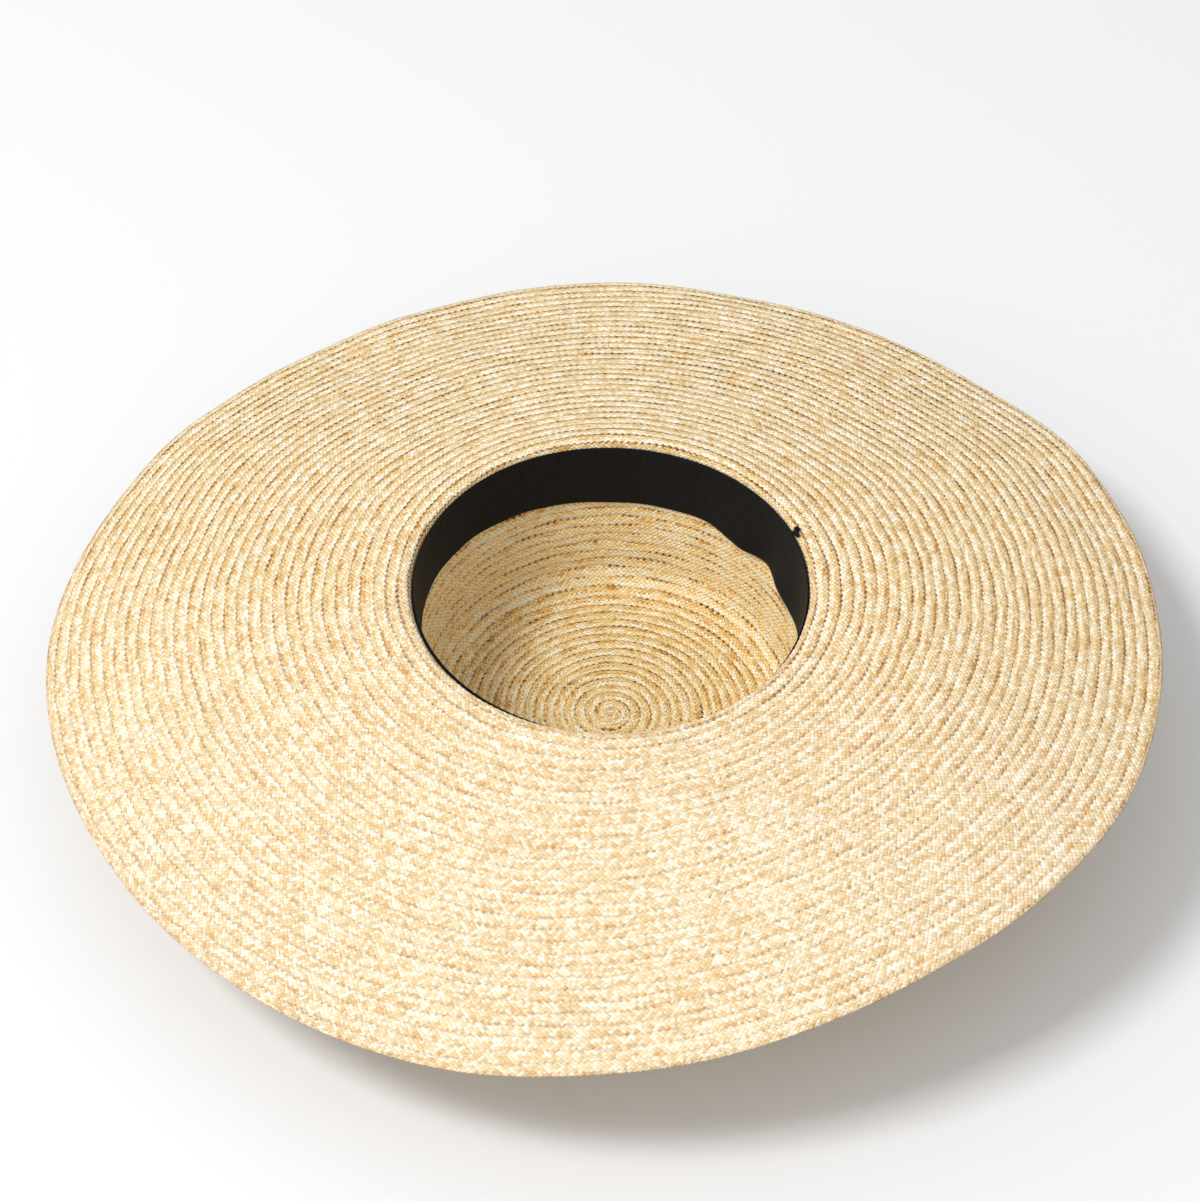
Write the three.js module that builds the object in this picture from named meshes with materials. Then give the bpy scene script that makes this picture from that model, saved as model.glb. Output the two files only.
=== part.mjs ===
// Wide-brimmed straw boater hat, lying upside down on the flat tip of its crown.
// Millimetres, +Z up. The origin is the centre of the tip's outer face, which rests
// on the surface. The brim's underside looks up, -Y is the front and +X the right.
//
// Each piece is a closed section turned round the Z axis. The section is drawn flat:
// its radius is the distance walked outwards along the straw, and its height counts
// from the rest surface. Then the drape bends the flat brim down by the sag table.

import * as THREE from 'three';
import { mergeVertices } from 'three/addons/utils/BufferGeometryUtils.js';

// Driving sizes

const CROWN_HEIGHT = 90;
const OPENING_WIDTH = 182;
const OPENING_LENGTH = 186.5;
const BRIM_WIDTH = 170;
const STRAW_THICKNESS = 2;
const PIECE_GAP = 0.3;

const BREAK_RADIUS = 4;
const BREAK_EASE = 7;
const TIP_EDGE_RADIUS = 18;
const CROWN_TAPER = 5;
const COLLAR_WIDTH = 11;

const EDGE_ROW_WIDTH = 6;
const EDGE_ROW_THICKNESS = 3;
const EDGE_ROUNDING = 0.8;

const BAND_HEIGHT = 33;
const BAND_THICKNESS = 1;
const BAND_BILLOW = 3.5;

const KNOT_AZIMUTH = 20;
const KNOT_WIDTH = 5;
const KNOT_HEIGHT = 4;
const KNOT_THICKNESS = 2;
const KNOT_LEAN = 35;

// How finely the round shapes are cut

const AZIMUTH_STEPS = 60;
const TIP_RINGS = 3;
const ARC_STEPS = 4;
const WALL_RINGS = 3;
const BRIM_RINGS = 9;
const BAND_RINGS = 3;
const WALK_STEPS = 24;
const KNOT_DETAIL = 2;

// Colours

const STRAW_COLOUR = 0xe6c894;
const RIBBON_COLOUR = 0x1c1c1e;
const STRAW_ROUGHNESS = 0.55;
const RIBBON_ROUGHNESS = 0.85;

// How the brim sags. A row for each azimuth, in degrees. The other columns are how
// steeply the straw falls, in degrees, next to the opening, halfway out and at the
// edge. A negative slope rises.

const BRIM_SAG = [
  { azimuth: 0, inner: -4, middle: 7, outer: 10 },
  { azimuth: 30, inner: 9.5, middle: 10.5, outer: 15.5 },
  { azimuth: 60, inner: 15, middle: 12, outer: 15.5 },
  { azimuth: 90, inner: 15, middle: 14, outer: 12.5 },
  { azimuth: 120, inner: 14.5, middle: 14.5, outer: 15 },
  { azimuth: 150, inner: 10.5, middle: 12.5, outer: 20 },
  { azimuth: 180, inner: 6, middle: 11, outer: 18 },
  { azimuth: 210, inner: 8, middle: 12, outer: 10.5 },
  { azimuth: 240, inner: 12.5, middle: 11.5, outer: 8.5 },
  { azimuth: 270, inner: 7, middle: 6.5, outer: 10.5 },
  { azimuth: 300, inner: -7.5, middle: 1.5, outer: 10 },
  { azimuth: 330, inner: -14, middle: 2.5, outer: 7 },
];

// How far the brim's edge reaches past its even width, at each azimuth in degrees. The
// reach is a share of the brim's width, and a negative one falls short of it.

const EDGE_REACH = [
  { azimuth: 0, reach: -0.035 },
  { azimuth: 15, reach: -0.015 },
  { azimuth: 30, reach: 0.01 },
  { azimuth: 45, reach: -0.025 },
  { azimuth: 60, reach: -0.018 },
  { azimuth: 75, reach: -0.006 },
  { azimuth: 90, reach: 0.022 },
  { azimuth: 105, reach: 0.014 },
  { azimuth: 120, reach: 0.004 },
  { azimuth: 135, reach: 0 },
  { azimuth: 150, reach: 0.026 },
  { azimuth: 165, reach: 0.012 },
  { azimuth: 180, reach: 0.032 },
  { azimuth: 195, reach: 0.025 },
  { azimuth: 210, reach: 0.014 },
  { azimuth: 225, reach: 0.012 },
  { azimuth: 240, reach: 0.011 },
  { azimuth: 255, reach: 0.014 },
  { azimuth: 270, reach: 0 },
  { azimuth: 285, reach: -0.008 },
  { azimuth: 300, reach: -0.014 },
  { azimuth: 315, reach: -0.008 },
  { azimuth: 330, reach: -0.008 },
  { azimuth: 345, reach: -0.03 },
];

// How the inside ribbon hangs. A row for each azimuth, in degrees. The drop is how far
// its top edge lies below the opening's crest, as a share of the break's radius. The
// billow is how far its lower edge stands off the wall, as a share of the band's
// billow. The lift is how far that edge is raised, as a share of the band's height.

const BAND_HANG = [
  { azimuth: 0, drop: 0.75, billow: 0.35, lift: 0 },
  { azimuth: 10, drop: 0.55, billow: 0.9, lift: 0 },
  { azimuth: 21, drop: 0.45, billow: 1.3, lift: 0 },
  { azimuth: 32, drop: 0.45, billow: 0.4, lift: 0.02 },
  { azimuth: 43, drop: 0.5, billow: 1.4, lift: 0 },
  { azimuth: 60, drop: 0.55, billow: 0.1, lift: 0 },
  { azimuth: 90, drop: 0.5, billow: 0.1, lift: 0 },
  { azimuth: 130, drop: 0.2, billow: 0.1, lift: 0.08 },
  { azimuth: 170, drop: 0.15, billow: 0.1, lift: 0.1 },
  { azimuth: 200, drop: 0.45, billow: 0.1, lift: 0.05 },
  { azimuth: 230, drop: 0.6, billow: 0.15, lift: 0 },
  { azimuth: 255, drop: 0.9, billow: 0.15, lift: 0 },
  { azimuth: 280, drop: 1.35, billow: 0.15, lift: 0 },
  { azimuth: 320, drop: 1.4, billow: 0.1, lift: 0 },
];

// Sizes worked out from the driving ones

const OPENING_RADIUS = (OPENING_WIDTH + OPENING_LENGTH) / 4;
const WIDTH_STRETCH = OPENING_WIDTH / (2 * OPENING_RADIUS);
const LENGTH_STRETCH = OPENING_LENGTH / (2 * OPENING_RADIUS);
const CREST_RADIUS = OPENING_RADIUS + BREAK_RADIUS;
const WALL_TOP = CROWN_HEIGHT - BREAK_RADIUS;
const WALL_LEAN = Math.atan(CROWN_TAPER / (WALL_TOP - TIP_EDGE_RADIUS));
const COLLAR_RADIUS = OPENING_RADIUS + COLLAR_WIDTH;
const BRIM_START = COLLAR_RADIUS + PIECE_GAP;
const BRIM_RADIUS = OPENING_RADIUS + BRIM_WIDTH;

const wrapDegrees = (angle) => ((angle % 360) + 360) % 360;

// A column of a table at an azimuth: a smooth closed curve through the rows.
function tableAt(table, column, azimuth) {
  const angle = wrapDegrees(azimuth);
  const count = table.length;
  let row = count - 1;
  while (row > 0 && table[row].azimuth > angle) {
    row -= 1;
  }
  const at = (offset) => table[(row + offset + count) % count];
  const span = wrapDegrees(at(1).azimuth - at(0).azimuth);
  const share = wrapDegrees(angle - at(0).azimuth) / span;
  const before = span / (span + wrapDegrees(at(0).azimuth - at(-1).azimuth));
  const after = span / (span + wrapDegrees(at(2).azimuth - at(1).azimuth));
  const startSlope = (at(1)[column] - at(-1)[column]) * before;
  const endSlope = (at(2)[column] - at(0)[column]) * after;
  const change = at(1)[column] - at(0)[column];
  const square = share * share;
  const cube = square * share;
  return at(0)[column] + startSlope * (cube - 2 * square + share)
    + change * (3 * square - 2 * cube) + endSlope * (cube - square);
}

// How steeply the straw falls, in radians, at a place on the brim.
function brimSlope(azimuth, radius) {
  const share = (radius - OPENING_RADIUS) / BRIM_WIDTH;
  const inner = tableAt(BRIM_SAG, 'inner', azimuth) * (1 - share) * (1 - 2 * share);
  const middle = tableAt(BRIM_SAG, 'middle', azimuth) * 4 * share * (1 - share);
  const outer = tableAt(BRIM_SAG, 'outer', azimuth) * share * (2 * share - 1);
  const ease = THREE.MathUtils.smoothstep(radius, CREST_RADIUS, CREST_RADIUS + BREAK_EASE);
  return THREE.MathUtils.degToRad(inner + middle + outer) * ease;
}

// Where a place on the flat section goes once the brim is drawn out to its edge's
// reach and sags.
function drape(azimuth, radius, height) {
  if (radius <= CREST_RADIUS) {
    return { radius, height };
  }
  const drawn = Math.max(0, radius - BRIM_START) / (BRIM_RADIUS - BRIM_START);
  const walked = radius + tableAt(EDGE_REACH, 'reach', azimuth) * BRIM_WIDTH * drawn;
  const step = (walked - CREST_RADIUS) / WALK_STEPS;
  let out = CREST_RADIUS;
  let level = CROWN_HEIGHT;
  for (let index = 0; index < WALK_STEPS; index += 1) {
    const slope = brimSlope(azimuth, CREST_RADIUS + (index + 0.5) * step);
    out += Math.cos(slope) * step;
    level -= Math.sin(slope) * step;
  }
  const slope = brimSlope(azimuth, walked);
  const rise = height - CROWN_HEIGHT;
  return { radius: out + Math.sin(slope) * rise, height: level + Math.cos(slope) * rise };
}

// Turn a closed flat section round the Z axis, then move each corner by a bend, which
// takes the azimuth in degrees, the radius and the height. The opening is slightly oval.
function turnedPiece(section, bend) {
  const turned = new THREE.LatheGeometry(section, AZIMUTH_STEPS);
  turned.rotateX(Math.PI / 2);
  turned.deleteAttribute('normal');
  turned.deleteAttribute('uv');
  const solid = mergeVertices(turned, 1e-3);
  const corners = solid.getAttribute('position');
  for (let index = 0; index < corners.count; index += 1) {
    const angle = Math.atan2(corners.getY(index), corners.getX(index));
    const flatRadius = Math.hypot(corners.getX(index), corners.getY(index));
    const azimuth = wrapDegrees(THREE.MathUtils.radToDeg(angle));
    const { radius, height } = bend(azimuth, flatRadius, corners.getZ(index));
    const x = radius * Math.cos(angle) * WIDTH_STRETCH;
    const y = radius * Math.sin(angle) * LENGTH_STRETCH;
    corners.setXYZ(index, x, y, height);
  }
  solid.computeVertexNormals();
  return solid;
}

// Points from one place up to but not including the next, evenly spaced.
function straight(from, to, steps) {
  const points = [];
  for (let index = 0; index < steps; index += 1) {
    points.push(new THREE.Vector2().lerpVectors(from, to, index / steps));
  }
  return points;
}

// Points on an arc from one angle to another, both included, in radians.
function arc(centre, radius, start, end) {
  const points = [];
  for (let index = 0; index <= ARC_STEPS; index += 1) {
    const angle = THREE.MathUtils.lerp(start, end, index / ARC_STEPS);
    const spoke = new THREE.Vector2(Math.cos(angle), Math.sin(angle)).multiplyScalar(radius);
    points.push(spoke.add(centre));
  }
  return points;
}

// The crown's flat tip, rounded tip edge, wall, break and collar. One face of the
// straw is drawn from the axis outwards at a given depth behind the inner face.
function crownFace(depth) {
  const breakCentre = new THREE.Vector2(CREST_RADIUS, WALL_TOP);
  const breakRadius = BREAK_RADIUS - depth;
  const edgeRadius = TIP_EDGE_RADIUS - STRAW_THICKNESS + depth;
  const wallFoot = OPENING_RADIUS - CROWN_TAPER;
  const edgeCentre = new THREE.Vector2(wallFoot + STRAW_THICKNESS - TIP_EDGE_RADIUS, TIP_EDGE_RADIUS);
  const tipEdge = arc(edgeCentre, edgeRadius, -Math.PI / 2, -WALL_LEAN);
  const breakTurn = arc(breakCentre, breakRadius, Math.PI - WALL_LEAN, Math.PI / 2);
  const tipLevel = STRAW_THICKNESS - depth;
  const tip = straight(new THREE.Vector2(0, tipLevel), tipEdge[0], TIP_RINGS);
  const wall = straight(tipEdge[ARC_STEPS], breakTurn[0], WALL_RINGS).slice(1);
  const collarEnd = new THREE.Vector2(COLLAR_RADIUS, CROWN_HEIGHT - depth);
  return [...tip, ...tipEdge, ...wall, ...breakTurn, collarEnd];
}

function makeCrown() {
  const outer = crownFace(STRAW_THICKNESS);
  const inner = crownFace(0).reverse();
  return turnedPiece([...outer, ...inner], drape);
}

// The brim, from the collar's end out to the edge, where the last row is doubled.
function makeBrim() {
  const edgeRow = BRIM_RADIUS - EDGE_ROW_WIDTH;
  const top = CROWN_HEIGHT;
  const under = CROWN_HEIGHT - STRAW_THICKNESS;
  const lowest = CROWN_HEIGHT - EDGE_ROW_THICKNESS;
  const at = (radius, height) => new THREE.Vector2(radius, height);
  const lowerFace = straight(at(BRIM_START, under), at(edgeRow, under), BRIM_RINGS);
  const edge = [
    at(edgeRow, under),
    at(edgeRow + EDGE_ROUNDING, lowest),
    at(BRIM_RADIUS - EDGE_ROUNDING, lowest),
    at(BRIM_RADIUS, lowest + EDGE_ROUNDING),
    at(BRIM_RADIUS, top - EDGE_ROUNDING),
    at(BRIM_RADIUS - EDGE_ROUNDING, top),
  ];
  const upperFace = straight(at(edgeRow, top), at(BRIM_START, top), BRIM_RINGS);
  const inner = [at(BRIM_START, top), at(BRIM_START, under)];
  const section = [...lowerFace, ...edge, ...upperFace, ...inner];
  return turnedPiece(section, drape);
}

// The ribbon inside the opening. It follows the wall's lean, and its lower edge
// billows off the wall.
function hangBand(azimuth, radius, height) {
  const share = (CROWN_HEIGHT - height) / BAND_HEIGHT;
  const drop = tableAt(BAND_HANG, 'drop', azimuth) * BREAK_RADIUS;
  const billow = tableAt(BAND_HANG, 'billow', azimuth) * BAND_BILLOW * share * share;
  const lift = tableAt(BAND_HANG, 'lift', azimuth) * BAND_HEIGHT;
  const level = CROWN_HEIGHT - drop - share * (BAND_HEIGHT - lift);
  const lean = Math.max(0, WALL_TOP - level) * Math.tan(WALL_LEAN);
  return { radius: radius - lean - billow, height: level };
}

function makeBand() {
  const outside = OPENING_RADIUS - PIECE_GAP;
  const inside = outside - BAND_THICKNESS;
  const foot = CROWN_HEIGHT - BAND_HEIGHT;
  const at = (radius, height) => new THREE.Vector2(radius, height);
  const wallSide = straight(at(outside, foot), at(outside, CROWN_HEIGHT), BAND_RINGS);
  const headSide = straight(at(inside, CROWN_HEIGHT), at(inside, foot), BAND_RINGS);
  const section = [...wallSide, at(outside, CROWN_HEIGHT), ...headSide, at(inside, foot), at(outside, foot)];
  return turnedPiece(section, hangBand);
}

// The flat thread knot that ends the ribbon's stitching, lying over the opening's
// rounded break. It leans with the break's surface below it.
function makeKnot() {
  const knot = new THREE.IcosahedronGeometry(0.5, KNOT_DETAIL);
  knot.deleteAttribute('normal');
  knot.deleteAttribute('uv');
  const solid = mergeVertices(knot, 1e-3);
  const lean = THREE.MathUtils.degToRad(KNOT_LEAN);
  const azimuth = THREE.MathUtils.degToRad(KNOT_AZIMUTH);
  const reach = BREAK_RADIUS + PIECE_GAP + KNOT_THICKNESS / 2;
  const radius = CREST_RADIUS - reach * Math.sin(lean);
  solid.scale(KNOT_HEIGHT, KNOT_WIDTH, KNOT_THICKNESS);
  solid.rotateY(-lean);
  solid.translate(radius, 0, WALL_TOP + reach * Math.cos(lean));
  solid.rotateZ(azimuth);
  solid.scale(WIDTH_STRETCH, LENGTH_STRETCH, 1);
  solid.computeVertexNormals();
  return solid;
}

// The hat: each piece is a mesh with its own material.
function piece(name, geometry, colour, roughness) {
  const material = new THREE.MeshStandardMaterial({ color: colour, roughness, metalness: 0 });
  const mesh = new THREE.Mesh(geometry, material);
  mesh.name = name;
  return mesh;
}

const hat = new THREE.Group();
hat.add(piece('crown', makeCrown(), STRAW_COLOUR, STRAW_ROUGHNESS));
hat.add(piece('brim', makeBrim(), STRAW_COLOUR, STRAW_ROUGHNESS));
hat.add(piece('sweatband', makeBand(), RIBBON_COLOUR, RIBBON_ROUGHNESS));
hat.add(piece('band_knot', makeKnot(), RIBBON_COLOUR, RIBBON_ROUGHNESS));

export default hat;
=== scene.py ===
"""A wide-brimmed straw boater hat lying upside down on the flat tip of its crown.

The straw is one ribbon of plait, sewn in a spiral from the centre of the tip to the
brim's edge. A place on the hat is given by an azimuth, counted anticlockwise from +X,
by the distance walked along the straw's inner face from the centre of the tip, and by
the rise off that face. Lengths are in metres.
"""

import math

import bpy
import numpy as np
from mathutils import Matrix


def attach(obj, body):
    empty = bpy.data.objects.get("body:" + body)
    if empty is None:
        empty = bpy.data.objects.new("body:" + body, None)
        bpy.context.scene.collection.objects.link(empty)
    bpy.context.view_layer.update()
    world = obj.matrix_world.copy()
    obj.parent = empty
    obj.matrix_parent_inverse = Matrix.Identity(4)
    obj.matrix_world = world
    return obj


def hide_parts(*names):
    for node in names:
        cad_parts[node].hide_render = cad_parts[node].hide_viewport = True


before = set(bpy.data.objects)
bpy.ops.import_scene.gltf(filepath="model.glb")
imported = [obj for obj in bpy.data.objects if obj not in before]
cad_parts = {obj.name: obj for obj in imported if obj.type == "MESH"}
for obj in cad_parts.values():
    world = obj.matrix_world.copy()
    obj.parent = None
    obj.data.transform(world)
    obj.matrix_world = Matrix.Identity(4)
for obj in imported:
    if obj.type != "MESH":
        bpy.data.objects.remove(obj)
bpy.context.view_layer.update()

MM = 0.001

# The hat's form

CROWN_HEIGHT = 90 * MM
OPENING_WIDTH = 182 * MM
OPENING_LENGTH = 186.5 * MM
BRIM_WIDTH = 170 * MM
STRAW_THICKNESS = 2 * MM
BREAK_RADIUS = 4 * MM
BREAK_EASE = 7 * MM
TIP_EDGE_RADIUS = 18 * MM
CROWN_TAPER = 5 * MM
COLLAR_WIDTH = 11 * MM
PIECE_GAP = 0.3 * MM

OPENING_RADIUS = (OPENING_WIDTH + OPENING_LENGTH) / 4
WIDTH_STRETCH = OPENING_WIDTH / (2 * OPENING_RADIUS)
LENGTH_STRETCH = OPENING_LENGTH / (2 * OPENING_RADIUS)
CREST_RADIUS = OPENING_RADIUS + BREAK_RADIUS
WALL_TOP = CROWN_HEIGHT - BREAK_RADIUS
WALL_LEAN = math.atan(CROWN_TAPER / (WALL_TOP - TIP_EDGE_RADIUS))

# How steeply the brim falls, in degrees, next to the opening, halfway out and at the
# edge, at each azimuth in degrees.

BRIM_SAG = (
    {"azimuth": 0, "inner": -4, "middle": 7, "outer": 10},
    {"azimuth": 30, "inner": 9.5, "middle": 10.5, "outer": 15.5},
    {"azimuth": 60, "inner": 15, "middle": 12, "outer": 15.5},
    {"azimuth": 90, "inner": 15, "middle": 14, "outer": 12.5},
    {"azimuth": 120, "inner": 14.5, "middle": 14.5, "outer": 15},
    {"azimuth": 150, "inner": 10.5, "middle": 12.5, "outer": 20},
    {"azimuth": 180, "inner": 6, "middle": 11, "outer": 18},
    {"azimuth": 210, "inner": 8, "middle": 12, "outer": 10.5},
    {"azimuth": 240, "inner": 12.5, "middle": 11.5, "outer": 8.5},
    {"azimuth": 270, "inner": 7, "middle": 6.5, "outer": 10.5},
    {"azimuth": 300, "inner": -7.5, "middle": 1.5, "outer": 10},
    {"azimuth": 330, "inner": -14, "middle": 2.5, "outer": 7},
)

# How far the brim's edge reaches past its even width, as a share of that width, at
# each azimuth in degrees.

EDGE_REACH = (
    {"azimuth": 0, "reach": -0.035},
    {"azimuth": 15, "reach": -0.015},
    {"azimuth": 30, "reach": 0.01},
    {"azimuth": 45, "reach": -0.025},
    {"azimuth": 60, "reach": -0.018},
    {"azimuth": 75, "reach": -0.006},
    {"azimuth": 90, "reach": 0.022},
    {"azimuth": 105, "reach": 0.014},
    {"azimuth": 120, "reach": 0.004},
    {"azimuth": 135, "reach": 0},
    {"azimuth": 150, "reach": 0.026},
    {"azimuth": 165, "reach": 0.012},
    {"azimuth": 180, "reach": 0.032},
    {"azimuth": 195, "reach": 0.025},
    {"azimuth": 210, "reach": 0.014},
    {"azimuth": 225, "reach": 0.012},
    {"azimuth": 240, "reach": 0.011},
    {"azimuth": 255, "reach": 0.014},
    {"azimuth": 270, "reach": 0},
    {"azimuth": 285, "reach": -0.008},
    {"azimuth": 300, "reach": -0.014},
    {"azimuth": 315, "reach": -0.008},
    {"azimuth": 330, "reach": -0.008},
    {"azimuth": 345, "reach": -0.03},
)

# The plait

PLAIT_PITCH = 3.4 * MM
TIP_ROW = 4.9 * MM
BRIM_ROW = 5.685 * MM
ROWS_WIDEN = (70 * MM, 150 * MM)
TAIL_AZIMUTH = 300
TAIL_WIDTH = 0.09
ROW_OVERLAP = 0.22
PLAIT_MIDDLE = 1.4 * MM
PLAIT_EDGE = 0.12 * MM
PLAIT_UPPER = -0.5 * MM
PLAIT_LOWER = -1.12 * MM
PICOT = 0.06
NOSE_SINK = 2.0 * MM
WANDER = 0.08
WANDER_LENGTHS = (0.029, 0.047, 0.083, 0.21)
UNEVEN = 0.06 * MM
UNEVEN_LENGTHS = (0.017, 0.029, 0.053, 0.11)
PRESSED = 0.8
SETTLE = 0.35 * MM
SETTLE_REACH = (10 * MM, 60 * MM)

# The ribbon inside the opening

BAND_HEIGHT = 33 * MM
BAND_GAP = 0.45 * MM
BAND_THICKNESS = 0.55 * MM
BAND_BILLOW = 3.5 * MM
BAND_RIPPLE = 0.25 * MM
RIB_PITCH = 1.5 * MM

# How the ribbon hangs: the drop of its top edge below the crest, as a share of the
# break's radius, how far its lower edge stands off the wall, as a share of the
# billow, and how far that edge is raised, as a share of the ribbon's height.

BAND_HANG = (
    {"azimuth": 0, "drop": 0.75, "billow": 0.35, "lift": 0},
    {"azimuth": 10, "drop": 0.55, "billow": 0.9, "lift": 0},
    {"azimuth": 21, "drop": 0.45, "billow": 1.3, "lift": 0},
    {"azimuth": 32, "drop": 0.45, "billow": 0.4, "lift": 0.02},
    {"azimuth": 43, "drop": 0.5, "billow": 1.4, "lift": 0},
    {"azimuth": 60, "drop": 0.55, "billow": 0.1, "lift": 0},
    {"azimuth": 90, "drop": 0.5, "billow": 0.1, "lift": 0},
    {"azimuth": 130, "drop": 0.2, "billow": 0.1, "lift": 0.08},
    {"azimuth": 170, "drop": 0.15, "billow": 0.1, "lift": 0.1},
    {"azimuth": 200, "drop": 0.45, "billow": 0.1, "lift": 0.05},
    {"azimuth": 230, "drop": 0.6, "billow": 0.15, "lift": 0},
    {"azimuth": 255, "drop": 0.9, "billow": 0.15, "lift": 0},
    {"azimuth": 280, "drop": 1.35, "billow": 0.15, "lift": 0},
    {"azimuth": 320, "drop": 1.4, "billow": 0.1, "lift": 0},
)

# The thread knot over the break

KNOT_AZIMUTH = math.radians(20)
KNOT_LEAN = math.radians(42)
KNOT_SPREAD = 1.05 * MM
KNOT_RISE = 1.2 * MM
THREAD_RADIUS = 0.95 * MM


# Form of the straw


def table_at(rows, column, azimuth):
    """A column of a table at each azimuth: a smooth closed curve through the rows,
    whose slope at a row is the mean slope to its two neighbours."""
    angles = np.array([row["azimuth"] for row in rows], float)
    values = np.array([row[column] for row in rows], float)
    count = len(angles)
    turned = np.mod(azimuth, 360)
    at = np.mod(np.searchsorted(angles, turned, side="right") - 1, count)
    ahead = (at + 1) % count
    span = np.mod(angles[ahead] - angles[at], 360)
    share = np.mod(turned - angles[at], 360) / span
    before = span / (span + np.mod(angles[at] - angles[at - 1], 360))
    after = span / (span + np.mod(angles[(ahead + 1) % count] - angles[ahead], 360))
    start_slope = (values[ahead] - values[at - 1]) * before
    end_slope = (values[(ahead + 1) % count] - values[at]) * after
    change = values[ahead] - values[at]
    return (
        values[at]
        + start_slope * (share**3 - 2 * share**2 + share)
        + change * (3 * share**2 - 2 * share**3)
        + end_slope * (share**3 - share**2)
    )


def smooth_step(value, low, high):
    """0 below low, 1 above high and an even S between them."""
    share = np.clip((value - low) / (high - low), 0, 1)
    return share * share * (3 - 2 * share)


def brim_slope(azimuth, radius):
    """The brim's fall in radians: a parabola through the three columns of the sag
    table, eased in from level over the first stretch past the crest."""
    share = (radius - OPENING_RADIUS) / BRIM_WIDTH
    inner = table_at(BRIM_SAG, "inner", azimuth) * (1 - share) * (1 - 2 * share)
    middle = table_at(BRIM_SAG, "middle", azimuth) * 4 * share * (1 - share)
    outer = table_at(BRIM_SAG, "outer", azimuth) * share * (2 * share - 1)
    ease = smooth_step(radius, CREST_RADIUS, CREST_RADIUS + BREAK_EASE)
    return np.radians(inner + middle + outer) * ease


def crown_section():
    """The inner face from the centre of the tip to the crest: a flat, an arc, a
    leaning line and an arc. Each part is a (length, radii, heights, slopes) rule of
    the distance walked on it, and the slope is the direction's angle below level."""
    edge_radius = TIP_EDGE_RADIUS - STRAW_THICKNESS
    edge_centre = OPENING_RADIUS - CROWN_TAPER - edge_radius
    turn = math.pi / 2 - WALL_LEAN
    foot = (
        edge_centre + edge_radius * math.cos(WALL_LEAN),
        TIP_EDGE_RADIUS - edge_radius * math.sin(WALL_LEAN),
    )
    top = (
        CREST_RADIUS - BREAK_RADIUS * math.cos(WALL_LEAN),
        WALL_TOP + BREAK_RADIUS * math.sin(WALL_LEAN),
    )
    wall = math.hypot(top[0] - foot[0], top[1] - foot[1])
    lengths = [edge_centre, edge_radius * turn, wall, BREAK_RADIUS * turn]
    ends = np.cumsum(lengths)

    def at(walk):
        on_tip = np.clip(walk, 0, ends[0])
        edge = np.clip((walk - ends[0]) / edge_radius, 0, turn)
        on_wall = np.clip((walk - ends[1]) / wall, 0, 1)
        bend = np.clip((walk - ends[2]) / BREAK_RADIUS, 0, turn)
        start = math.pi / 2 - turn
        radius = (
            on_tip
            + edge_radius * np.sin(edge)
            + (top[0] - foot[0]) * on_wall
            + BREAK_RADIUS * (math.cos(start) - np.cos(start + bend))
        )
        height = (
            STRAW_THICKNESS
            + edge_radius * (1 - np.cos(edge))
            + (top[1] - foot[1]) * on_wall
            + BREAK_RADIUS * (np.sin(start + bend) - math.sin(start))
        )
        slope = bend - edge
        return radius, height, slope

    return float(ends[-1]), at


CROWN_WALK, crown_at = crown_section()
HAT_WALK = CROWN_WALK + BRIM_WIDTH - BREAK_RADIUS
COLLAR_WALK = CROWN_WALK + COLLAR_WIDTH + PIECE_GAP - BREAK_RADIUS
FORM_STEP = 0.5 * MM
FORM_ANGLES = 360
FORM_SPARE = 0.05 * BRIM_WIDTH


def hat_form():
    """Radius, height and slope of the inner face on a grid of azimuth and walk. The
    brim's part is the running sum of the slope's cosine and sine. The grid goes on a
    little past the brim's width, for where the edge is drawn out."""
    walks = np.arange(0, HAT_WALK + FORM_SPARE, FORM_STEP)
    azimuths = np.arange(FORM_ANGLES) * 360 / FORM_ANGLES
    radius, height, slope = crown_at(np.minimum(walks, CROWN_WALK))
    shape = (FORM_ANGLES, len(walks))
    radii = np.broadcast_to(radius, shape).copy()
    heights = np.broadcast_to(height, shape).copy()
    slopes = np.broadcast_to(slope, shape).copy()
    past = np.clip(walks - CROWN_WALK, 0, None)
    fall = brim_slope(azimuths[:, None], CREST_RADIUS + past[None, :])
    run = np.diff(past, prepend=0.0)[None, :]
    middle = (fall + np.roll(fall, 1, axis=1)) / 2
    radii += np.cumsum(np.cos(middle) * run, axis=1)
    heights -= np.cumsum(np.sin(middle) * run, axis=1)
    slopes = np.where(past[None, :] > 0, fall, slopes)
    return radii, heights, slopes


FORM = hat_form()


def form_at(azimuth, walk):
    """The form's radius, height and slope, read between the grid's corners."""
    column = np.clip(walk / FORM_STEP, 0, FORM[0].shape[1] - 1.001)
    row = np.mod(azimuth, 360) * FORM_ANGLES / 360
    low_row, low_column = row.astype(int), column.astype(int)
    row_share, column_share = row - low_row, column - low_column
    low_row = low_row % FORM_ANGLES
    high_row = (low_row + 1) % FORM_ANGLES

    def read(grid):
        near = grid[low_row, low_column] * (1 - column_share)
        near += grid[low_row, low_column + 1] * column_share
        far = grid[high_row, low_column] * (1 - column_share)
        far += grid[high_row, low_column + 1] * column_share
        return near * (1 - row_share) + far * row_share

    return [read(grid) for grid in FORM]


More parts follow.
